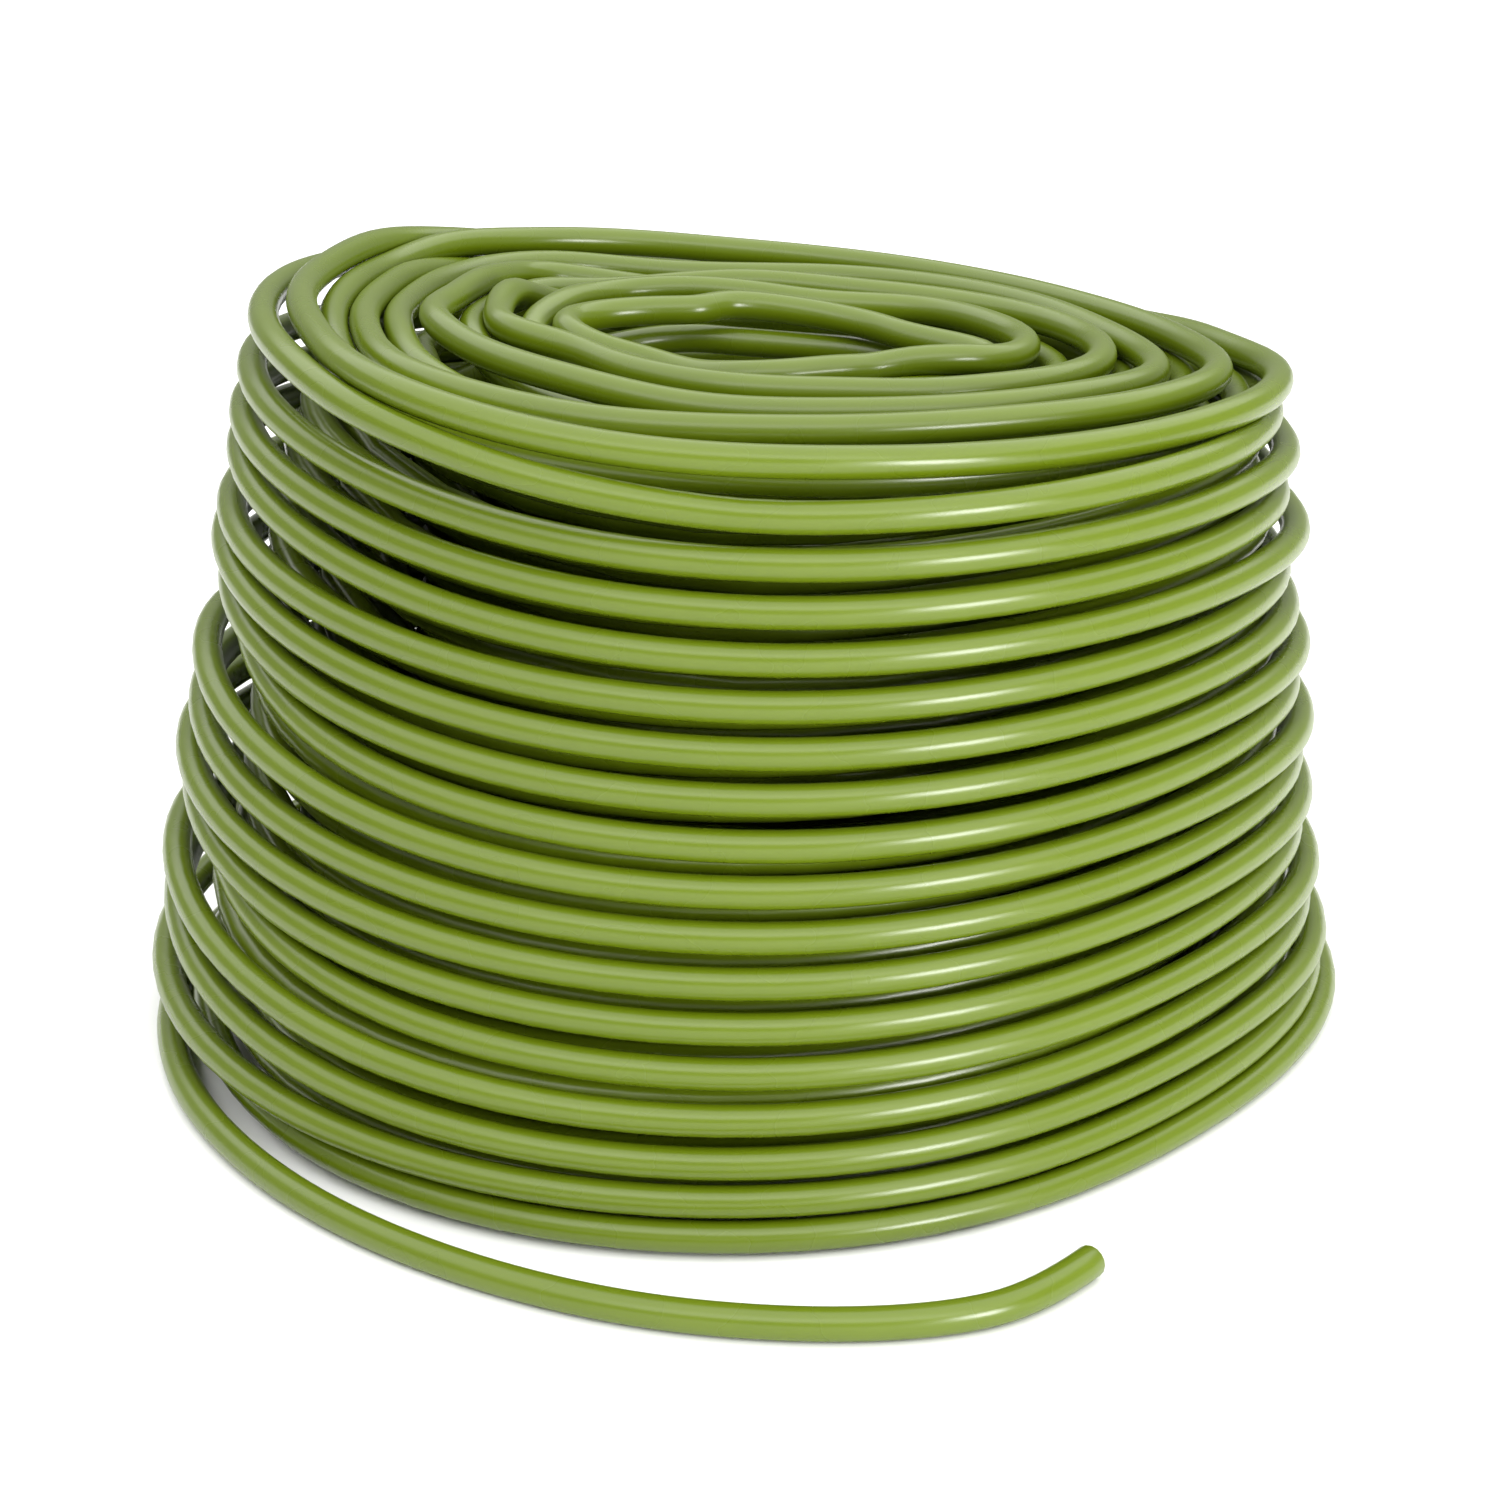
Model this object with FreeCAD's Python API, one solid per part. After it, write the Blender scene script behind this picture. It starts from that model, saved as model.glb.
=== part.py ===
"""A coil of quarter-inch soaker hose standing on a floor, in millimetres.

The origin is where the axis of the coil's eye meets the floor, +Z is up and the free tail
passes in front of the coil, on the -Y side.

The hose is one continuous length.  It is held here as two plain solids that meet face to face:
  hose_coil   the outer shape of the wound turns, with the open eye through it
  hose_tail   the free end of the hose, a hollow tube that lies on the floor
"""
import FreeCAD, Part
import math
import os

Vector = FreeCAD.Vector

# ---- the hose
HOSE_OD = 6.35               # outside diameter of quarter-inch tubing
HOSE_BORE = 4.3              # inside diameter, which a quarter-inch barb is pushed into

# ---- the coil's outer shape
COIL_FOOT_RADIUS = 132.0     # outside of the lowest turns, on the floor
COIL_TOP_RADIUS = 107.0      # outside of the highest turns, at the mean height
COIL_LEFT_HEIGHT = 161.0     # top of the coil over its left rim, where the turns ride up
COIL_RIGHT_HEIGHT = 149.0    # top of the coil over its right rim
CROWN_ROUNDING = 9.0         # fillet of the coil's upper outer edge
EYE_HALF_LENGTH = 40.0       # the eye is an oval: half its size along X
EYE_HALF_WIDTH = 26.0        # half its size along Y
EYE_ROUNDING = 4.0           # fillet of the eye's upper edge

# ---- the tail, which leaves the coil on its left and lies on the floor
# azimuth in degrees, anticlockwise from +X, and how far the hose's centre line stands outside
# the coil's foot radius, which is negative while the hose still lies among the turns
TAIL_EXIT = (175.0, -4.8)
TAIL_FIRST_TURN = 9.0        # azimuth from the exit to the end of the first run
TAIL_REST = [
    (196.0, -1.2),
    (210.0, 2.2),
    (224.0, 6.3),
    (237.0, 11.5),
    (250.0, 17.5),
    (262.0, 23.6),
    (273.0, 27.6),
    (282.5, 29.4),
    (289.5, 26.2),
    (295.0, 17.8),
]

# ---- the groove in the coil's foot that the tail comes out of
GROOVE_CLEARANCE = 0.6       # between the hose and the groove's side and roof
GROOVE_END = 228.0           # azimuth where the hose is clear of the coil's wall

ARC_SHARE = 0.45             # part of the shorter run that each bend takes up


def polar(azimuth, radius, height):
    """The point at an azimuth in degrees, a radius from the coil's axis and a height."""
    turn = math.radians(azimuth)
    return Vector(radius * math.cos(turn), radius * math.sin(turn), height)


def tail_points():
    """Corners of the tail's route; its first run is square to the coil's radius at the exit."""
    height = HOSE_OD / 2
    exit_azimuth, exit_standoff = TAIL_EXIT
    exit_radius = COIL_FOOT_RADIUS + exit_standoff
    second_radius = exit_radius / math.cos(math.radians(TAIL_FIRST_TURN))
    points = [
        polar(exit_azimuth, exit_radius, height),
        polar(exit_azimuth + TAIL_FIRST_TURN, second_radius, height),
    ]
    for azimuth, standoff in TAIL_REST:
        points.append(polar(azimuth, COIL_FOOT_RADIUS + standoff, height))
    return points


def rounded_route(points):
    """Straight runs joined by tangent arcs, as one wire; also each arc's radius."""
    edges = []
    radii = []
    start = points[0]
    for before, corner, after in zip(points, points[1:], points[2:]):
        run_in = corner - before
        run_out = after - corner
        turn = run_in.getAngle(run_out)
        reach = ARC_SHARE * min(run_in.Length, run_out.Length)
        radius = reach / math.tan(turn / 2)
        towards = Vector(run_in).normalize()
        away = Vector(run_out).normalize()
        arc_start = corner - towards * reach
        arc_end = corner + away * reach
        inward = Vector(away - towards).normalize()
        rise = radius / math.cos(turn / 2) - radius
        arc_middle = corner + inward * rise
        edges.append(Part.LineSegment(start, arc_start).toShape())
        edges.append(Part.Arc(arc_start, arc_middle, arc_end).toShape())
        radii.append(radius)
        start = arc_end
    edges.append(Part.LineSegment(start, points[-1]).toShape())
    return Part.Wire(edges), radii


def swept_rod(route, diameter, start, heading):
    """A round rod of one diameter along a route."""
    circle = Part.Circle(start, heading, diameter / 2).toShape()
    return route.makePipeShell([Part.Wire([circle])], True, True)


def make_tail():
    """The free end of the hose, a hollow tube on the floor."""
    points = tail_points()
    route, radii = rounded_route(points)
    heading = points[1] - points[0]
    outside = swept_rod(route, HOSE_OD, points[0], heading)
    bore = swept_rod(route, HOSE_BORE, points[0], heading)
    tail = outside.cut(bore)
    section = math.pi * (HOSE_OD ** 2 - HOSE_BORE ** 2) / 4
    last_run = points[-1] - points[-2]
    straight_end = last_run.Length - ARC_SHARE * min(
        last_run.Length, (points[-2] - points[-3]).Length
    )
    print("tail bends, mm:", [round(radius, 1) for radius in radii])
    print("tail length, mm:", round(route.Length, 1))
    print("tail volume / (section x length):", round(tail.Volume / (section * route.Length), 4))
    print("straight stretch at the cut end, mm:", round(straight_end, 2))
    print("cut end:", points[-1], "heading", Vector(last_run).normalize())
    return tail


def wall_radius(height):
    """Outside radius of the coil at a height: the wall leans in at a steady slope."""
    mean_height = (COIL_LEFT_HEIGHT + COIL_RIGHT_HEIGHT) / 2
    return COIL_FOOT_RADIUS + (COIL_TOP_RADIUS - COIL_FOOT_RADIUS) * height / mean_height


def slanted_top(blank_height):
    """The block above the coil's crown, which leans down from the left to the right."""
    fall = (COIL_LEFT_HEIGHT - COIL_RIGHT_HEIGHT) / (2 * COIL_TOP_RADIUS)
    mean_height = (COIL_LEFT_HEIGHT + COIL_RIGHT_HEIGHT) / 2
    reach = 2 * COIL_FOOT_RADIUS
    corners = [
        Vector(-reach, -reach, mean_height + fall * reach),
        Vector(reach, -reach, mean_height - fall * reach),
        Vector(reach, -reach, 2 * blank_height),
        Vector(-reach, -reach, 2 * blank_height),
    ]
    outline = Part.Face(Part.makePolygon(corners + corners[:1]))
    return outline.extrude(Vector(0, 2 * reach, 0))


def eye_core(blank_height):
    """The oval core that leaves the coil's eye open from top to bottom."""
    long_side = max(EYE_HALF_LENGTH, EYE_HALF_WIDTH)
    short_side = min(EYE_HALF_LENGTH, EYE_HALF_WIDTH)
    oval = Part.Ellipse(Vector(0, 0, 0), long_side, short_side)
    if EYE_HALF_WIDTH > EYE_HALF_LENGTH:
        oval.rotate(FreeCAD.Placement(Vector(0, 0, 0), Vector(0, 0, 1), 90))
    outline = Part.Face(Part.Wire([oval.toShape()]))
    outline.translate(Vector(0, 0, -HOSE_OD))
    return outline.extrude(Vector(0, 0, blank_height + 2 * HOSE_OD))


def tail_groove():
    """The room in the coil's foot for the tail, a sector whose first side is the exit face."""
    exit_azimuth, exit_standoff = TAIL_EXIT
    exit_radius = COIL_FOOT_RADIUS + exit_standoff
    inner_radius = exit_radius - HOSE_OD / 2 - GROOVE_CLEARANCE
    height = HOSE_OD + GROOVE_CLEARANCE
    base = Vector(0, 0, -HOSE_OD)
    up = Vector(0, 0, 1)
    sweep = GROOVE_END - exit_azimuth
    sector = Part.makeCylinder(1.2 * COIL_FOOT_RADIUS, height + HOSE_OD, base, up, sweep)
    sector.rotate(Vector(0, 0, 0), up, exit_azimuth)
    core = Part.makeCylinder(inner_radius, height + 3 * HOSE_OD, base * 2, up)
    return sector.cut(core)


def edges_on_top(solid, wanted_radius_range):
    """Edges that lie wholly near the crown and between two distances from the axis."""
    low, high = wanted_radius_range
    lowest_crown = min(COIL_LEFT_HEIGHT, COIL_RIGHT_HEIGHT) - HOSE_OD
    found = []
    for edge in solid.Edges:
        middle = edge.valueAt((edge.FirstParameter + edge.LastParameter) / 2)
        distance = math.hypot(middle.x, middle.y)
        if edge.BoundBox.ZMin > lowest_crown and low < distance < high:
            found.append(edge)
    return found


def make_coil():
    """The outer shape of the wound turns, leaning in, slanted on top and open in the middle."""
    blank_height = max(COIL_LEFT_HEIGHT, COIL_RIGHT_HEIGHT) + 2 * HOSE_OD
    blank = Part.makeCone(COIL_FOOT_RADIUS, wall_radius(blank_height), blank_height)
    coil = blank.cut(slanted_top(blank_height)).cut(eye_core(blank_height))
    rim = (max(EYE_HALF_LENGTH, EYE_HALF_WIDTH) + 2 * HOSE_OD, COIL_FOOT_RADIUS)
    coil = coil.makeFillet(CROWN_ROUNDING, edges_on_top(coil, rim))
    eye = (0, max(EYE_HALF_LENGTH, EYE_HALF_WIDTH) + HOSE_OD)
    coil = coil.makeFillet(EYE_ROUNDING, edges_on_top(coil, eye))
    return coil.cut(tail_groove())


def export(name, shape):
    """Write one node's solid and say what it measures."""
    solid = shape.Solids[0]
    box = solid.BoundBox
    print(name, "solids", len(shape.Solids), "valid", solid.isValid(), "mm3", round(solid.Volume))
    print("  x", round(box.XMin, 1), round(box.XMax, 1), "y", round(box.YMin, 1),
          round(box.YMax, 1), "z", round(box.ZMin, 2), round(box.ZMax, 1))
    solid.exportStep("parts/" + name + ".step")


os.makedirs("parts", exist_ok=True)
coil = make_coil()
tail = make_tail()
export("hose_coil", coil)
export("hose_tail", tail)
print("shared volume, mm3:", round(coil.common(tail).Volume, 4))
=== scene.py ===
"""A coil of quarter-inch soaker hose, dressed for a studio picture.

The hose is one continuous length: seven layers wound one inside the other, a loose spiral of
turns over the top of them, one outer layer that runs down to the floor, and a free tail that
lies in front of the coil.  Its line is one open NURBS spline, and the hose's wall is a tube
whose rings follow that spline.
"""

import logging
import math
from dataclasses import dataclass, field
from enum import IntEnum

import bpy
import numpy as np
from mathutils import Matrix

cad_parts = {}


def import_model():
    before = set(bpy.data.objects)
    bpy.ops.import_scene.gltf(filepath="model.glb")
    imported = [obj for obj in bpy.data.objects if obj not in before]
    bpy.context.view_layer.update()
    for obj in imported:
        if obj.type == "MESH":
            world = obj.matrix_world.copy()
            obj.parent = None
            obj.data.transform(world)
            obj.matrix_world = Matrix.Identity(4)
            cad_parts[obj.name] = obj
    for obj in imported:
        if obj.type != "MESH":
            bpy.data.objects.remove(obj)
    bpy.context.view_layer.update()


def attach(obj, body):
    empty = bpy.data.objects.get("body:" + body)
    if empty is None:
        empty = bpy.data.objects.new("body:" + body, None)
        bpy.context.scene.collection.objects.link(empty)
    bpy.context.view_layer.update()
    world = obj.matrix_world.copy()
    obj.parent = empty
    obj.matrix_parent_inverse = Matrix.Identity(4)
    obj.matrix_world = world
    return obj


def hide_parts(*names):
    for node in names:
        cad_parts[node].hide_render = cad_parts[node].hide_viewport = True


logging.basicConfig(level=logging.INFO, format="%(name)s: %(message)s")
log = logging.getLogger("soaker_hose")

# Azimuths of three sides of the coil, in radians anticlockwise from +X.
FRONT, RIGHT, LEFT = -np.pi / 2.0, 0.0, np.pi

# A radius that keeps the spare stations, which fill up the last turn, clear of all others.
FAR_AWAY = -999.0


def ease(share: np.ndarray) -> np.ndarray:
    """A smooth step: three times the share squared less twice its cube, held between 0 and 1."""
    held = np.clip(share, 0.0, 1.0)
    return held * held * (3.0 - 2.0 * held)


def flowing(turn: np.ndarray, at: np.ndarray, value: np.ndarray) -> np.ndarray:
    """A smooth line through chosen values.

    Each span is a cubic Hermite piece whose end slopes are the neighbouring spans' slopes,
    weighted by the other span's length.

    Args:
        turn: where the line is wanted.
        at: where the values are given, rising.
        value: the values there.

    Returns:
        The line's value at each turn.
    """
    span = np.diff(at)
    rise = np.diff(value) / span
    slope = np.empty_like(value)
    slope[1:-1] = (rise[1:] * span[:-1] + rise[:-1] * span[1:]) / (span[1:] + span[:-1])
    slope[0], slope[-1] = rise[0], rise[-1]
    i = np.clip(np.searchsorted(at, turn) - 1, 0, len(span) - 1)
    t = (turn - at[i]) / span[i]
    start = (2.0 * t - 3.0) * t * t + 1.0
    lead = ((t - 2.0) * t + 1.0) * t * span[i]
    trail = (t - 1.0) * t * t * span[i]
    return start * value[i] + lead * slope[i] + (1.0 - start) * value[i + 1] + trail * slope[i + 1]


def beside(azimuth: np.ndarray, place: float, width: float) -> np.ndarray:
    """A bell that is 1 at one azimuth and falls away over a width on both sides of it."""
    away = np.angle(np.exp(1j * (azimuth - place)))
    return np.exp(-((away / width) ** 2))


def waver(turn: np.ndarray, size: float, seed: int, per_turn: float = 2.5) -> np.ndarray:
    """A small uneven wander along the hose, the same each time for one seed."""
    knots = np.arange(turn[0] - 1.0, turn[-1] + 1.0, 1.0 / per_turn)
    return size * flowing(turn, knots, np.random.default_rng(seed).normal(size=len(knots)))


@dataclass(frozen=True)
class HoseSize:
    """The hose's own sizes, in metres."""

    outside: float = 0.00635
    bore: float = 0.0043
    length: float = 60.0
    lip: float = 0.00028

    @property
    def radius(self) -> float:
        """Half the outside diameter."""
        return self.outside / 2.0


class Zone(IntEnum):
    """Which part of the winding a stretch of the hose belongs to."""

    HEART = 0
    UNDER = 1
    CORE = 2
    CROWN = 3
    OUTER = 4
    TAIL = 5


# In the order of Zone: the share of the line's points that the wall keeps, and how freely the
# turns move when they settle.
KEPT_SHARES = (0.046, 0.11, 0.095, 0.24, 0.185, 1.0)
LOOSENESS = (1.0, 1.0, 1.0, 0.25, 0.35, 1.0)


@dataclass
class Winding:
    """The coil's turns, in hose diameters, worked out layer by layer and then settled.

    A place along the hose is a turn number, whole where the hose passes the front of the coil,
    a quarter later at the right, a half later at the back and three quarters later at the left.
    Row 1 is the highest row of the outer layer and passes the front at turn 1.

    Sides hold an azimuth in radians and how wide a stretch round it they reach.  Press and bulge
    hold their size at the top of the coil and how much more it is at the floor.  Each point of
    the crown is a turn number, a radius and a height.  left_out, left_up and right_out say how
    far each turn, from row 2 down, stands out or up by itself at the left or the right.
    """

    stations: int = 64
    rows: int = 18
    row_pitch: float = 1.34
    floor: float = 0.5
    landing: float = 0.35
    full_height: float = 22.0
    floor_zone: float = 3.0
    foot_reach: float = 20.335
    taper: float = 0.1535
    lean: float = 0.315
    lean_with_height: float = 0.0125
    press: tuple[float, float] = (0.04, 1.71)
    press_side: tuple[float, float] = (-0.70, 0.60)
    bulge: tuple[float, float] = (-0.64, 1.52)
    bulge_side: tuple[float, float] = (-2.20, 0.65)
    bulge_on_floor: float = 0.4
    left_rise: float = 1.7
    left_spread: float = 0.70
    upper_spread: float = 0.85
    upper_rows: tuple[float, float] = (15.0, 21.0)
    right_dip: float = 0.35
    right_side: tuple[float, float] = (RIGHT, 0.30)
    front_dip: float = 0.32
    front_side: tuple[float, float] = (FRONT, 0.60)
    under_tops: tuple[float, ...] = (21.6, 21.6, 21.4, 21.4, 21.2, 21.2, 21.0)
    under_pitches: tuple[float, ...] = (1.45, 1.62, 1.62, 1.62, 1.62, 1.62, 1.40)
    eye_long: float = 7.0
    eye_short: float = 4.7
    eye_offset: float = 0.8
    layer_gap: float = 1.15
    left_gap: float = 0.70
    crossing: float = 1.4
    inner_flattening: float = 0.35
    wander: float = 0.16
    clearance: float = 1.02
    settling_rounds: int = 150
    settling_step: float = 0.9
    crown: tuple[tuple[float, float, float], ...] = (
        (-9.00, 4.7, 21.0), (-8.88, 5.7, 21.3), (-8.76, 7.2, 21.6), (-8.67, 5.6, 22.0),
        (-8.58, 3.9, 22.2), (-8.48, 3.4, 22.4), (-8.40, 4.2, 22.5), (-8.33, 5.2, 22.4),
        (-8.25, 6.0, 22.3), (-8.12, 5.0, 22.0), (-8.00, 4.4, 21.8), (-7.88, 5.6, 22.1),
        (-7.80, 7.2, 22.3), (-7.75, 8.0, 22.6), (-7.71, 5.8, 22.9), (-7.66, 4.9, 23.1),
        (-7.58, 3.9, 23.4), (-7.47, 3.3, 23.7), (-7.38, 3.2, 23.7), (-7.33, 4.4, 23.7),
        (-7.29, 5.5, 23.7), (-7.24, 6.1, 23.7), (-7.20, 5.5, 23.4), (-7.15, 4.2, 23.0),
        (-7.08, 3.9, 22.8), (-7.00, 4.6, 23.0), (-6.90, 4.8, 23.0), (-6.84, 5.7, 22.9),
        (-6.80, 8.0, 22.9), (-6.76, 9.1, 22.9), (-6.68, 8.8, 23.0), (-6.63, 8.4, 23.0),
        (-6.57, 6.9, 23.1), (-6.49, 5.8, 23.6), (-6.43, 6.0, 23.8), (-6.38, 6.6, 23.8),
        (-6.30, 6.8, 23.9), (-6.25, 7.2, 23.6), (-6.17, 7.0, 22.6), (-6.00, 6.0, 22.2),
        (-5.88, 7.4, 22.1), (-5.75, 10.3, 22.0), (-5.62, 9.0, 22.2), (-5.50, 7.3, 22.3),
        (-5.40, 8.2, 22.6), (-5.34, 8.8, 23.6), (-5.30, 8.6, 24.2), (-5.25, 8.4, 24.1),
        (-5.21, 8.2, 24.0), (-5.17, 6.9, 23.7), (-5.10, 6.7, 23.4), (-5.00, 7.4, 23.2),
        (-4.94, 8.0, 23.1), (-4.88, 9.6, 23.0), (-4.82, 11.1, 22.9), (-4.76, 11.7, 22.9),
        (-4.70, 11.0, 23.0), (-4.64, 9.8, 23.1), (-4.57, 8.9, 23.2), (-4.50, 8.7, 23.4),
        (-4.40, 9.4, 23.3), (-4.35, 9.9, 23.7), (-4.29, 9.3, 23.8), (-4.24, 9.2, 23.6),
        (-4.17, 8.7, 22.7), (-4.00, 8.7, 22.1), (-3.88, 9.9, 22.1), (-3.75, 12.5, 21.9),
        (-3.62, 10.9, 22.2), (-3.50, 10.3, 22.4), (-3.42, 10.2, 23.3), (-3.38, 11.2, 23.8),
        (-3.34, 10.2, 24.0), (-3.27, 9.9, 24.3), (-3.22, 10.5, 24.4), (-3.17, 10.1, 24.0),
        (-3.10, 9.6, 23.6), (-3.03, 9.5, 23.1), (-2.95, 10.7, 23.1), (-2.86, 12.4, 23.0),
        (-2.78, 13.5, 22.7), (-2.72, 12.4, 22.7), (-2.65, 11.8, 23.0), (-2.56, 12.1, 23.0),
        (-2.46, 12.4, 23.1), (-2.40, 13.2, 23.7), (-2.34, 12.7, 23.9), (-2.28, 11.9, 23.9),
        (-2.22, 11.6, 23.9), (-2.17, 11.8, 23.5), (-2.10, 11.4, 22.6), (-2.00, 11.2, 22.1),
        (-1.88, 12.3, 22.0), (-1.75, 14.5, 21.8), (-1.62, 13.2, 22.1), (-1.50, 14.0, 22.3),
        (-1.41, 15.4, 23.0), (-1.35, 14.1, 24.1), (-1.29, 13.0, 24.2), (-1.22, 12.8, 24.2),
        (-1.15, 13.3, 23.9), (-1.06, 12.8, 23.3), (-0.98, 12.5, 23.1), (-0.90, 13.3, 23.0),
        (-0.84, 14.7, 22.9), (-0.78, 15.5, 22.8), (-0.73, 14.6, 22.8), (-0.65, 13.5, 22.9),
        (-0.58, 13.8, 23.1), (-0.50, 14.1, 23.5), (-0.41, 14.9, 24.2), (-0.35, 14.7, 24.4),
        (-0.28, 13.7, 24.4), (-0.22, 13.7, 24.1), (-0.15, 14.0, 23.1), (0.00, 14.5, 22.2),
        (0.12, 15.2, 21.9), (0.25, 16.3, 21.5), (0.38, 15.1, 22.0), (0.50, 15.3, 22.3),
        (0.56, 16.0, 23.1), (0.61, 16.1, 24.2), (0.68, 14.8, 24.9), (0.74, 14.6, 25.1),
        (0.82, 15.1, 25.0), (0.90, 16.7, 24.3), (0.96, 16.5, 23.5), (1.04, 16.2, 23.0),
        (1.13, 16.3, 22.6), (1.20, 17.3, 22.5), (1.24, 17.4, 22.4), (1.29, 16.3, 22.1),
        (1.34, 16.3, 21.9), (1.40, 16.5, 22.0), (1.45, 16.8, 22.3), (1.50, 17.0, 22.7),
        (1.58, 17.3, 23.2), (1.66, 16.5, 24.2), (1.76, 15.9, 24.7), (1.83, 16.4, 24.5),
        (1.89, 17.1, 23.7), (1.94, 17.1, 22.6),
    )
    crown_end: float = 2.0
    left_out: tuple[float, ...] = (
        0.0, 0.1, 0.0, 0.2, 0.2, -0.2, -1.1, 0.3, 0.3, 0.6, 0.2, -0.9, 0.5, 0.3, 0.7, -0.9,
    )
    left_up: tuple[float, ...] = (
        0.2, 0.1, 0.3, -0.3, 0.0, 0.0, 0.2, 0.3, -0.2, -0.4, -0.3, 0.1, 0.1, -0.2, -0.6, 0.55,
    )
    right_out: tuple[float, ...] = (
        -0.5, 0.1, -0.4, 0.3, -0.5, -0.2, 0.1, -0.4, 0.1, -0.4, -0.1, -0.6, 0.0, -0.4, 0.1, -0.2,
    )
    outer_end: float = 18.75 - 5.0 / 360.0
    leaving: float = 0.6
    leaving_turns: float = 0.35
    turn: np.ndarray = field(default_factory=lambda: np.empty(0))
    reach: np.ndarray = field(default_factory=lambda: np.empty(0))
    height: np.ndarray = field(default_factory=lambda: np.empty(0))
    zone: np.ndarray = field(default_factory=lambda: np.empty(0))

    @staticmethod
    def azimuth(turn: np.ndarray) -> np.ndarray:
        """The angle about the coil's axis, anticlockwise from +X, in radians."""
        return 2.0 * np.pi * turn - np.pi / 2.0

    def above_floor(self, level: np.ndarray) -> np.ndarray:
        """A share that is 0 for turns on the floor and 1 for turns well above it."""
        return ease((level - self.floor) / self.floor_zone)

    def wall(self, azimuth: np.ndarray, level: np.ndarray) -> np.ndarray:
        """Radius of the outer layer.

        It shrinks with height, a little less on the right.  The foot is pressed in at the
        front right, and at the front left it bulges where the top is pressed in.

        Args:
            azimuth: angles about the coil's axis, in radians.
            level: heights, in hose diameters.

        Returns:
            The radii, in hose diameters.
        """
        low = 1.0 - level / self.full_height
        lean = (self.lean + self.lean_with_height * level) * np.cos(azimuth)
        radius = self.foot_reach - self.taper * level + lean
        radius -= (self.press[0] + self.press[1] * low) * beside(azimuth, *self.press_side)
        bulge = self.bulge[1] * low + self.bulge[0]
        bulge *= self.bulge_on_floor + (1.0 - self.bulge_on_floor) * self.above_floor(level)
        return radius + bulge * beside(azimuth, *self.bulge_side)

    def lift(self, azimuth: np.ndarray, level: np.ndarray) -> np.ndarray:
        """How far the turns ride up at the left and sink at the front and right, off the floor.

        Args:
            azimuth: angles about the coil's axis, in radians.
            level: heights before the lift, in hose diameters.

        Returns:
            The lift, in hose diameters.
        """
        start, end = self.upper_rows
        upper = ease((level - start) / (end - start))
        spread = self.left_spread + (self.upper_spread - self.left_spread) * upper
        rise = self.left_rise * beside(azimuth, LEFT, spread)
        rise -= self.right_dip * beside(azimuth, *self.right_side)
        rise -= self.front_dip * beside(azimuth, *self.front_side)
        return self.above_floor(level) * rise

    def row_level(self, turn: np.ndarray) -> np.ndarray:
        """Height of the outer layer before its lift: a steady fall that lands on the floor.

        The landing is a parabola, which meets the slope above it and the floor below it smoothly.

        Args:
            turn: turn numbers along the outer layer.

        Returns:
            The heights, in hose diameters.
        """
        landing = self.landing
        raw = self.row_pitch * (self.rows - turn)
        soft = (raw + landing) ** 2 / (4.0 * landing)
        return self.floor + np.where(raw > landing, raw, np.where(raw < -landing, 0.0, soft))

    def wind_under_layers(self) -> tuple[np.ndarray, ...]:
        """The layers inside the outer one, wound up and down in turn towards the eye.

        Returns:
            Turn numbers, radii, heights and zones of the stations.
        """
        last = len(self.under_tops) - 1
        counts = [
            round((top - self.floor) / pitch * 4.0) / 4.0
            for top, pitch in zip(self.under_tops, self.under_pitches)
        ]
        first_turn = self.crown[0][0] - sum(counts)
        turn = first_turn + np.arange(round(sum(counts) * self.stations)) / self.stations
        angle = self.azimuth(turn)
        reach, height, zone = np.zeros_like(turn), np.zeros_like(turn), np.zeros_like(turn)
        start = first_turn
        for layer, count in enumerate(counts):
            here = (turn > start - 1e-9) & (turn < start + count - 1e-9)
            done = (turn[here] - start) / count
            climb = done if layer % 2 == 0 else 1.0 - done
            level = self.floor + (self.under_tops[layer] - self.floor) * climb
            side = angle[here]
            half = self.crossing / 2.0
            share = layer / last
            share += ease((done * count - count + half) / self.crossing) / last
            share -= (1.0 - ease((done * count + half) / self.crossing)) / last
            share = np.clip(share, 0.0, 1.0)
            gap = self.layer_gap + self.left_gap * beside(side, LEFT, 0.65)
            oval = 1.0 / np.hypot(np.cos(side) / self.eye_long, np.sin(side) / self.eye_short)
            oval += self.eye_offset * np.cos(side)
            reach[here] = (self.wall(side, level) - gap) * (1.0 - share) + oval * share
            height[here] = level + self.lift(side, level) * (1.0 - self.inner_flattening * share)
            zone[here] = {0: Zone.UNDER, last: Zone.CORE}.get(layer, Zone.HEART)
            start += count
        reach += waver(turn, self.wander, seed=3)
        height += waver(turn, self.wander, seed=5)
        return turn, reach, height, zone

    def lay_crown(self, turn: np.ndarray) -> tuple[np.ndarray, ...]:
        """The loose spiral over the top, which runs on into the outer layer.

        Args:
            turn: turn numbers of the stations.

        Returns:
            Turn numbers, radii, heights and zones of the stations.
        """
        joins = self.crown_end + np.array((0.0, 0.12, 0.25))
        _, join_reach, join_height, _ = self.wind_outer_layer(joins)
        at, reach, height = (np.array(column) for column in zip(*self.crown))
        at = np.append(at, joins)
        reach = np.append(reach, join_reach)
        height = np.append(height, join_height)
        zone = np.full_like(turn, Zone.CROWN)
        return turn, flowing(turn, at, reach), flowing(turn, at, height), zone

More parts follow.
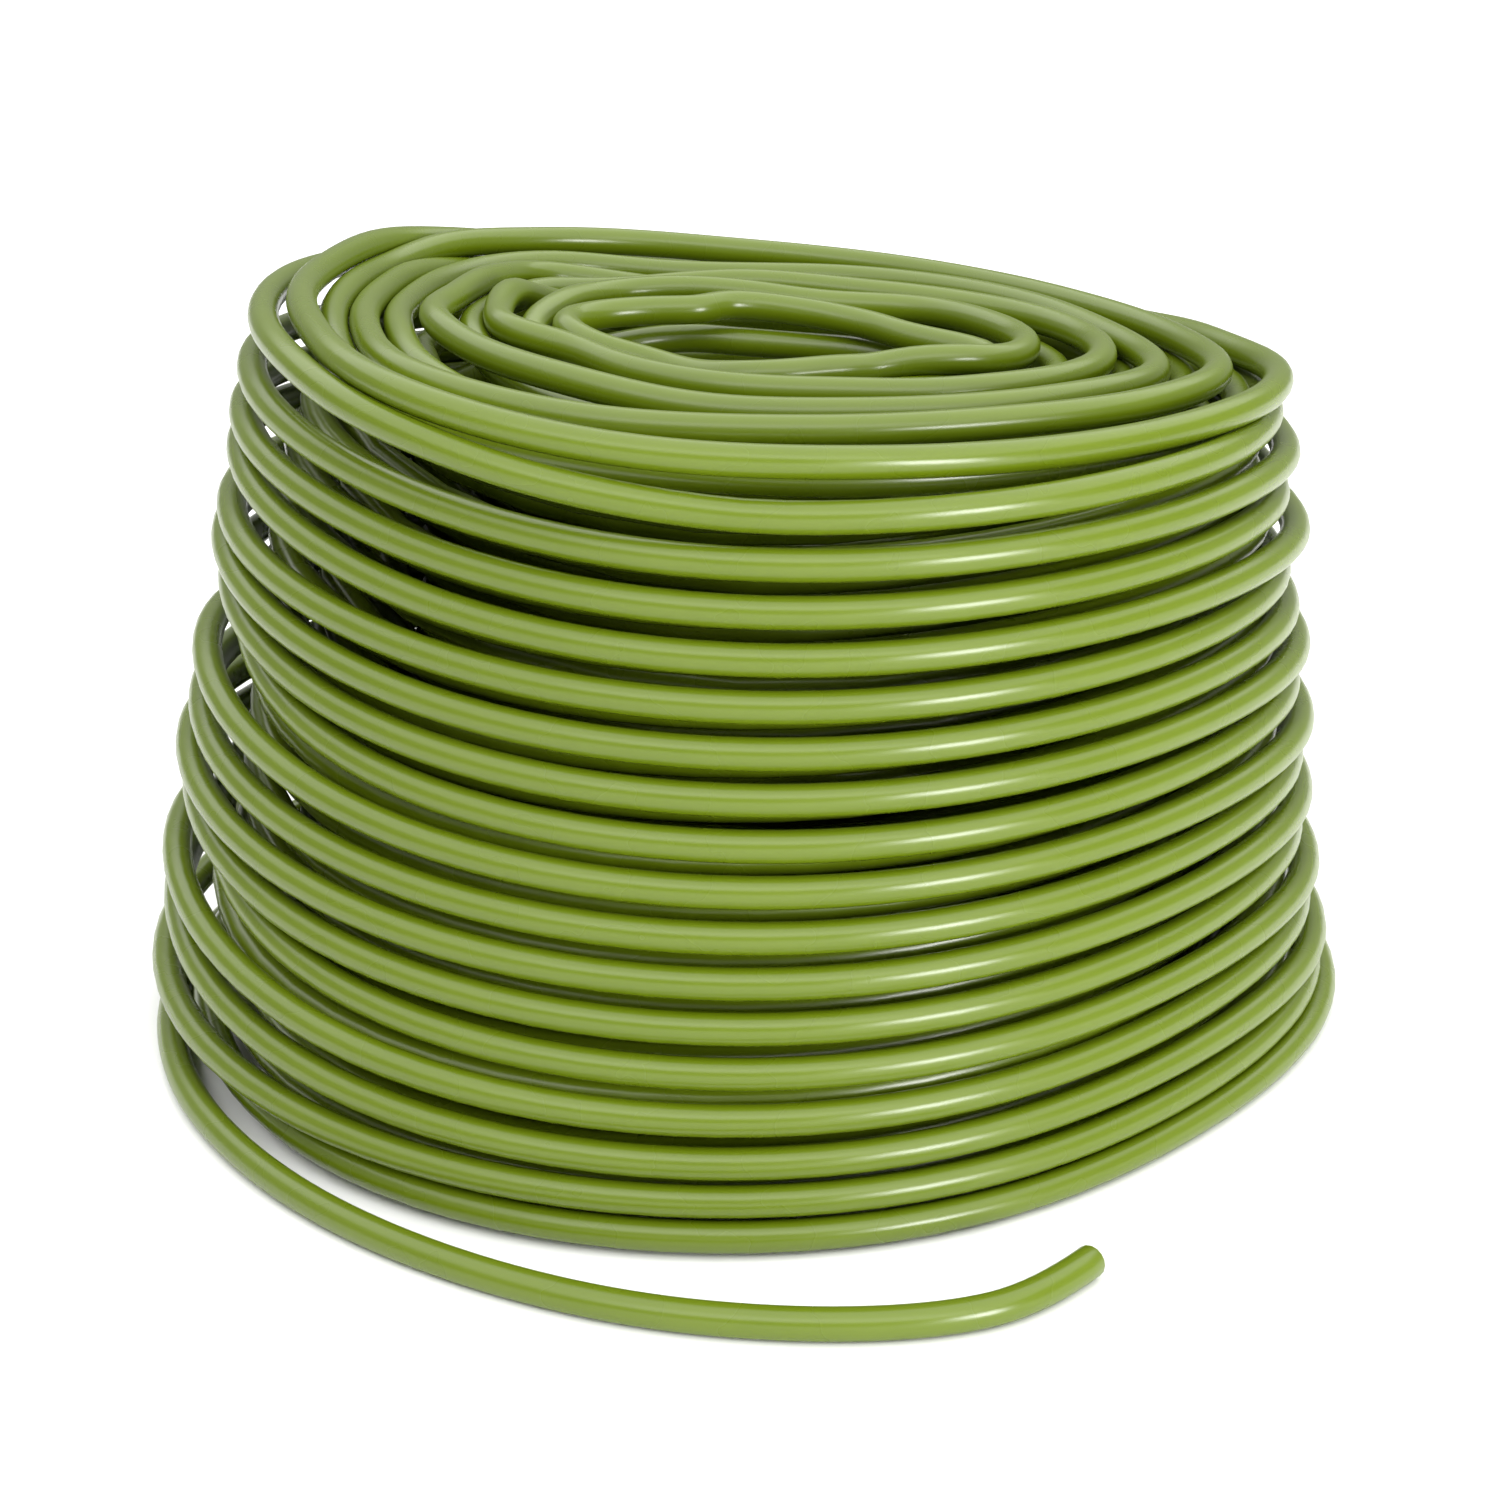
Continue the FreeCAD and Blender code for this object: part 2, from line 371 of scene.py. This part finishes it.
    def wind_outer_layer(self, turn: np.ndarray) -> tuple[np.ndarray, ...]:
        """The layer that is seen, from row 2 down to the floor, where it eases out to the tail.

        Args:
            turn: turn numbers of the stations.

        Returns:
            Turn numbers, radii, heights and zones of the stations.
        """
        level, side = self.row_level(turn), self.azimuth(turn)
        left, right = beside(side, LEFT, 0.7), beside(side, RIGHT, 0.6)
        at_left = np.arange(len(self.left_out)) + 2.75
        at_right = np.arange(len(self.right_out)) + 2.25
        reach = self.wall(side, level)
        reach += left * flowing(turn, at_left, np.array(self.left_out))
        reach += right * flowing(turn, at_right, np.array(self.right_out))
        height = level + self.lift(side, level)
        height += left * flowing(turn, at_left, np.array(self.left_up))
        freed = ease((turn - self.outer_end) / self.leaving_turns + 1.0)
        reach += self.leaving * freed
        height += (self.floor - height) * freed
        return turn, reach, height, np.full_like(turn, Zone.OUTER)

    def settle(self) -> None:
        """Pushes turns that lie in each other apart, until they lie on each other.

        Stations at one azimuth are discs in a plane.  Each pair nearer than the clearance is
        moved apart along the line between them, the looser of the two further, and the moves
        are smoothed along the hose.  Nothing goes below the floor.
        """
        count = len(self.turn)
        turns = -(-count // self.stations)
        spare = turns * self.stations - count
        weight = np.array(LOOSENESS)[self.zone.astype(int)]
        weight = np.append(weight, np.zeros(spare)).reshape(turns, self.stations)
        share = weight[:, None] / (weight[:, None] + weight[None] + 1e-9)
        itself = np.eye(turns, dtype=bool)[:, :, None]
        for _ in range(self.settling_rounds):
            reach = np.append(self.reach, np.full(spare, FAR_AWAY)).reshape(turns, -1)
            height = np.append(self.height, np.zeros(spare)).reshape(turns, -1)
            out = reach[:, None] - reach[None]
            up = height[:, None] - height[None]
            apart = np.hypot(out, up) + 1e-6
            near = (apart < self.clearance) & ~itself
            push = np.where(near, (self.clearance - apart) / apart, 0.0) * share
            outward = self.smoothed((out * push).sum(1), count)
            upward = self.smoothed((up * push).sum(1), count)
            self.reach = self.reach + self.settling_step * outward
            self.height = np.maximum(self.height + self.settling_step * upward, self.floor)

    @staticmethod
    def smoothed(moves: np.ndarray, count: int) -> np.ndarray:
        """The moves in order along the hose, averaged twice with their neighbours.

        Args:
            moves: one move for each turn and station.
            count: how many stations there are without the spare ones.

        Returns:
            The averaged moves, one for each station.
        """
        line = moves.reshape(-1)[:count]
        for _ in range(2):
            line = np.convolve(np.pad(line, 1, "edge"), (0.25, 0.5, 0.25), "valid")
        return line

    def wind(self) -> None:
        """Works out every station of the coil."""
        under = self.wind_under_layers()
        first = under[0][0]
        made = len(under[0])
        crown_count = round((self.crown_end - self.crown[0][0]) * self.stations)
        crown_turn = first + np.arange(made, made + crown_count) / self.stations
        made += crown_count
        outer_count = math.ceil((self.outer_end - self.crown_end) * self.stations)
        outer_turn = first + np.arange(made, made + outer_count) / self.stations
        parts = (under, self.lay_crown(crown_turn), self.wind_outer_layer(outer_turn))
        self.turn, self.reach, self.height, self.zone = (np.concatenate(p) for p in zip(*parts))
        self.settle()

    def points(self) -> np.ndarray:
        """The stations as points.

        Returns:
            Their x, y and z, in hose diameters.
        """
        side = self.azimuth(self.turn)
        across = self.reach * np.cos(side)
        along = self.reach * np.sin(side)
        return np.stack((across, along, self.height), axis=1)


@dataclass
class Tail:
    """The free end's route on the floor, in millimetres, as the design has it.

    Azimuths are in degrees, anticlockwise from +X, and each standoff is how far the hose's
    centre line lies outside the coil's foot.
    """

    foot_radius: float = 132.0
    hose_diameter: float = 6.35
    exit: tuple[float, float] = (175.0, -4.8)
    first_turn: float = 9.0
    rest: tuple[tuple[float, float], ...] = (
        (196.0, -1.2), (210.0, 2.2), (224.0, 6.3), (237.0, 11.5), (250.0, 17.5),
        (262.0, 23.6), (273.0, 27.6), (282.5, 29.4), (289.5, 26.2), (295.0, 17.8),
    )

    def points(self) -> np.ndarray:
        """The route's points; the first run is square to the coil's radius.

        Returns:
            Their x, y and z, in metres.
        """
        start, standoff = self.exit
        exit_radius = self.foot_radius + standoff
        second_radius = exit_radius / math.cos(math.radians(self.first_turn))
        stops = [(start, exit_radius), (start + self.first_turn, second_radius)]
        stops += [(azimuth, self.foot_radius + out) for azimuth, out in self.rest]
        azimuth, radius = np.array(stops).T
        turn = np.radians(azimuth)
        height = np.full_like(radius, self.hose_diameter / 2.0)
        return np.stack((radius * np.cos(turn), radius * np.sin(turn), height), axis=1) / 1000.0


@dataclass(frozen=True)
class HosePlastic:
    """Smooth extruded olive-green plastic with a soft gloss."""

    name: str = "hose_plastic"
    deep: tuple[float, float, float, float] = (0.098, 0.145, 0.002, 1.0)
    pale: tuple[float, float, float, float] = (0.115, 0.164, 0.004, 1.0)
    smoothest: float = 0.23
    roughest: float = 0.32
    ior: float = 1.55
    cloud_scale: float = 45.0
    cloud_detail: float = 3.0

    def build(self) -> bpy.types.Material:
        """Mixes the plastic: one green, a little cloudy in colour and in gloss.

        Returns:
            The material.
        """
        made = bpy.data.materials.new(self.name)
        made.use_nodes = True
        nodes, links = made.node_tree.nodes, made.node_tree.links
        shader = nodes["Principled BSDF"]
        shader.inputs["IOR"].default_value = self.ior
        place = nodes.new("ShaderNodeTexCoord")
        clouds = nodes.new("ShaderNodeTexNoise")
        clouds.inputs["Scale"].default_value = self.cloud_scale
        clouds.inputs["Detail"].default_value = self.cloud_detail
        links.new(place.outputs["Object"], clouds.inputs["Vector"])
        tint = nodes.new("ShaderNodeMix")
        tint.data_type = "RGBA"
        tint.inputs["A"].default_value = self.deep
        tint.inputs["B"].default_value = self.pale
        links.new(clouds.outputs["Fac"], tint.inputs["Factor"])
        links.new(tint.outputs["Result"], shader.inputs["Base Color"])

        gloss = nodes.new("ShaderNodeMapRange")
        gloss.inputs["To Min"].default_value = self.smoothest
        gloss.inputs["To Max"].default_value = self.roughest
        links.new(clouds.outputs["Fac"], gloss.inputs["Value"])
        links.new(gloss.outputs["Result"], shader.inputs["Roughness"])
        return made


@dataclass
class SoakerHose:
    """The whole hose: its spline, its wall and its cut ends."""

    size: HoseSize = field(default_factory=HoseSize)
    winding: Winding = field(default_factory=Winding)
    tail: Tail = field(default_factory=Tail)
    plastic: HosePlastic = field(default_factory=HosePlastic)
    sides: int = 16
    samples_per_span: int = 8
    open_rings: int = 3

    def route(self) -> tuple[np.ndarray, np.ndarray]:
        """The hose's line before it is smoothed.

        Returns:
            The spline's control points in metres, and the zone of each.
        """
        self.winding.wind()
        coil = self.winding.points() * self.size.outside
        free = self.tail.points()
        zone = np.append(self.winding.zone, np.full(len(free), Zone.TAIL))
        return np.concatenate((coil, free)), zone

    def smooth_line(self, control: np.ndarray) -> np.ndarray:
        """Samples the NURBS spline that has these control points.

        Args:
            control: the control points, in metres.

        Returns:
            Points along the spline, in metres.
        """
        curve = bpy.data.curves.new("hose_line", "CURVE")
        curve.dimensions = "3D"
        spline = curve.splines.new("NURBS")
        spline.points.add(len(control) - 1)
        spline.points.foreach_set("co", np.append(control, np.ones((len(control), 1)), 1).ravel())
        spline.order_u = 3
        spline.use_endpoint_u = True
        curve.resolution_u = self.samples_per_span
        holder = bpy.data.objects.new("hose_line", curve)
        bpy.context.scene.collection.objects.link(holder)
        line = bpy.data.meshes.new_from_object(holder)
        points = np.empty(len(line.vertices) * 3)
        line.vertices.foreach_get("co", points)
        bpy.data.objects.remove(holder)
        bpy.data.meshes.remove(line)
        bpy.data.curves.remove(curve)
        return points.reshape(-1, 3)

    def thin_out(self, line: np.ndarray, zone: np.ndarray) -> np.ndarray:
        """Leaves out points of the line, most of all where it is hidden in the coil's heart.

        Args:
            line: points along the spline.
            zone: the zone of each control point.

        Returns:
            The points that are kept, the first and the last among them.
        """
        source = np.clip(np.arange(len(line)) * len(zone) // len(line), 0, len(zone) - 1)
        kept = np.floor(np.cumsum(np.array(KEPT_SHARES)[zone.astype(int)][source]))
        keep = np.diff(kept, prepend=-1.0) > 0
        keep[-1] = True
        return line[keep]

    def rings(self, line: np.ndarray) -> tuple[np.ndarray, ...]:
        """The hose's rings, with both cut ends.

        At an end the wall turns in over a small lip, crosses the cut face to the bore and runs
        back inside the hose for a few rings, where a flat plug that can't be seen closes it.

        Args:
            line: the hose's line, in metres.

        Returns:
            Each ring's centre and radius in metres, and its direction.
        """
        lip, bore, outside = self.size.lip, self.size.bore / 2.0, self.size.radius
        forward = self.directions(line)
        face_back = np.array((0.3, 0.0, 0.0, 0.5)) * lip
        face_radii = np.array((outside - 0.3 * lip, outside - lip, bore + 0.4 * lip, bore))
        deep = self.open_rings
        body = line.copy()
        body[0] += forward[0] * lip
        body[-1] -= forward[-1] * lip
        centres = np.concatenate((
            line[deep:0:-1],
            line[0] + forward[0] * face_back[::-1, None],
            body,
            line[-1] - forward[-1] * face_back[:, None],
            line[-2:-2 - deep:-1],
        ))
        inner = np.full(deep, bore)
        radii = np.concatenate((
            inner, face_radii[::-1], np.full(len(line), outside), face_radii, inner,
        ))
        facing_way = np.concatenate((
            forward[deep:0:-1], np.repeat(forward[:1], 4, 0), forward,
            np.repeat(forward[-1:], 4, 0), forward[-2:-2 - deep:-1],
        ))
        return centres, radii, facing_way

    @staticmethod
    def directions(line: np.ndarray) -> np.ndarray:
        """The line's direction at each point: the difference of the points on each side.

        Args:
            line: points along the line.

        Returns:
            A direction of length 1 for each point.
        """
        ahead = np.concatenate((line[1:], line[-1:]))
        behind = np.concatenate((line[:1], line[:-1]))
        along = ahead - behind
        return along / np.linalg.norm(along, axis=1)[:, None]

    def wall_mesh(self, line: np.ndarray) -> bpy.types.Mesh:
        """The hose's wall: a circle carried along the line.

        A point of ring i at angle a is centre + radius x (cos a x sideways + sin a x upwards),
        where sideways is the line's direction crossed with the vertical and upwards is square
        to both.

        Args:
            line: the hose's line, in metres.

        Returns:
            The wall's mesh, closed by a fan of faces at each end.
        """
        centres, radii, forward = self.rings(line)
        sideways = np.cross(forward, (0.0, 0.0, 1.0))
        sideways /= np.linalg.norm(sideways, axis=1)[:, None]
        upwards = np.cross(sideways, forward)
        angle = np.arange(self.sides) * 2.0 * np.pi / self.sides
        spoke = (np.cos(angle)[None, :, None] * sideways[:, None]
                 + np.sin(angle)[None, :, None] * upwards[:, None])
        skin = centres[:, None] + radii[:, None, None] * spoke
        count = len(centres)
        points = np.concatenate((skin.reshape(-1, 3), centres[:1], centres[-1:]))

        ring = np.arange(count - 1)[:, None] * self.sides
        side = np.arange(self.sides)[None, :]
        following = (side + 1) % self.sides
        quads = np.stack((
            ring + side, ring + self.sides + side,
            ring + self.sides + following, ring + following,
        ), axis=-1).reshape(-1, 4)
        last_ring = (count - 1) * self.sides
        start_pole, end_pole = count * self.sides, count * self.sides + 1
        side, following = side[0], following[0]
        start_fan = np.stack((side, following, np.full_like(side, start_pole)), axis=-1)
        end_fan = np.stack((last_ring + following, last_ring + side,
                            np.full_like(side, end_pole)), axis=-1)
        mesh = bpy.data.meshes.new("hose")
        mesh.from_pydata(points, [], quads.tolist() + start_fan.tolist() + end_fan.tolist())
        mesh.shade_smooth()
        return mesh

    def build(self) -> bpy.types.Object:
        """Makes the hose, dresses it and says what it is.

        Returns:
            The hose's object.
        """
        control, zone = self.route()
        line = self.thin_out(self.smooth_line(control), zone)
        mesh = self.wall_mesh(line)
        mesh.materials.append(self.plastic.build())
        hose = bpy.data.objects.new("hose", mesh)
        bpy.context.scene.collection.objects.link(hose)
        long = float(np.linalg.norm(np.diff(line, axis=0), axis=1).sum())
        log.info("hose: %.2f m long, %d rings, %d faces", long, len(line), len(mesh.polygons))
        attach(hose, "root")
        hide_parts("hose_coil", "hose_tail")
        return hose


@dataclass(frozen=True)
class SoftBox:
    """A soft lamp: where it hangs, what it looks at, its sides in metres and its power."""

    name: str
    place: tuple[float, float, float]
    aim: tuple[float, float, float]
    width: float
    depth: float
    power: float

    def build(self) -> None:
        """Hangs the lamp."""
        lamp = bpy.data.lights.new(self.name, "AREA")
        lamp.shape = "RECTANGLE"
        lamp.size = self.width
        lamp.size_y = self.depth
        lamp.energy = self.power
        holder = bpy.data.objects.new(self.name, lamp)
        holder.location = self.place
        holder.rotation_euler = facing(self.place, self.aim)
        holder.visible_camera = False
        bpy.context.scene.collection.objects.link(holder)


def facing(place: tuple[float, float, float], aim: tuple[float, float, float]) -> tuple:
    """The rotation that points a lamp's own -Z from one place at another.

    Args:
        place: where the lamp hangs.
        aim: what it points at.

    Returns:
        The rotation about x, y and z, in radians.
    """
    toward = np.subtract(aim, place)
    pitch = math.atan2(math.hypot(toward[0], toward[1]), -toward[2])
    return pitch, 0.0, math.atan2(-toward[0], toward[1])


@dataclass
class Studio:
    """A plain white floor, soft lamps and the camera."""

    floor_half: float = 2.4
    lamps: tuple[SoftBox, ...] = (
        SoftBox("ceiling", (0.0, 0.3, 2.5), (0.0, 0.3, 0.0), 7.5, 7.5, 310.0),
        SoftBox("front", (0.0, -1.15, 1.15), (0.0, 0.0, 0.08), 2.0, 0.7, 5.5),
        SoftBox("low_front", (-0.1, -1.5, 0.13), (0.0, 0.0, 0.06), 2.0, 0.22, 2.2),
        SoftBox("side", (0.94, -1.10, 0.26), (0.0, 0.0, 0.08), 0.44, 0.46, 15.0),
    )
    surround: float = 0.42
    backdrop: float = 1.0
    camera_place: tuple[float, float, float] = (0.0, -0.6356, 0.2832)
    camera_pitch: float = 19.75
    lens: float = 73.13

    def build_floor(self) -> None:
        """A flat white floor under the hose."""
        half = self.floor_half
        mesh = bpy.data.meshes.new("floor")
        corners = [(-half, -half, 0.0), (half, -half, 0.0), (half, half, 0.0), (-half, half, 0.0)]
        mesh.from_pydata(corners, [], [(0, 1, 2, 3)])
        white = bpy.data.materials.new("white_floor")
        white.use_nodes = True
        shader = white.node_tree.nodes["Principled BSDF"]
        shader.inputs["Base Color"].default_value = (0.9, 0.9, 0.9, 1.0)
        shader.inputs["Roughness"].default_value = 0.9
        mesh.materials.append(white)
        floor = bpy.data.objects.new("floor", mesh)
        bpy.context.scene.collection.objects.link(floor)

    def build_surround(self) -> None:
        """An even pale light from all round, which the camera sees as plain white."""
        world = bpy.data.worlds.new("studio")
        world.use_nodes = True
        nodes, links = world.node_tree.nodes, world.node_tree.links
        air = nodes["Background"]
        air.inputs["Color"].default_value = (1.0, 1.0, 1.0, 1.0)
        seen = nodes.new("ShaderNodeLightPath")
        strength = nodes.new("ShaderNodeMapRange")
        strength.inputs["To Min"].default_value = self.surround
        strength.inputs["To Max"].default_value = self.backdrop
        links.new(seen.outputs["Is Camera Ray"], strength.inputs["Value"])
        links.new(strength.outputs["Result"], air.inputs["Strength"])
        bpy.context.scene.world = world

    def build_camera(self) -> None:
        """The camera in front of the coil, looking a little down on it."""
        camera = bpy.data.cameras.new("camera")
        camera.lens = self.lens
        camera.sensor_width = 36.0
        holder = bpy.data.objects.new("camera", camera)
        holder.location = self.camera_place
        holder.rotation_euler = (math.radians(90.0 - self.camera_pitch), 0.0, 0.0)
        bpy.context.scene.collection.objects.link(holder)
        bpy.context.scene.camera = holder

    def build(self) -> None:
        """Sets up the whole studio."""
        self.build_floor()
        self.build_surround()
        self.build_camera()
        for lamp in self.lamps:
            lamp.build()
        bpy.context.scene.view_settings.view_transform = "Standard"


def main() -> None:
    """Builds the studio and the hose."""
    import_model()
    Studio().build()
    hose = SoakerHose().build()
    log.info("%s rides on root and stands for the coil and its tail", hose.name)


if __name__ == "__main__":
    main()
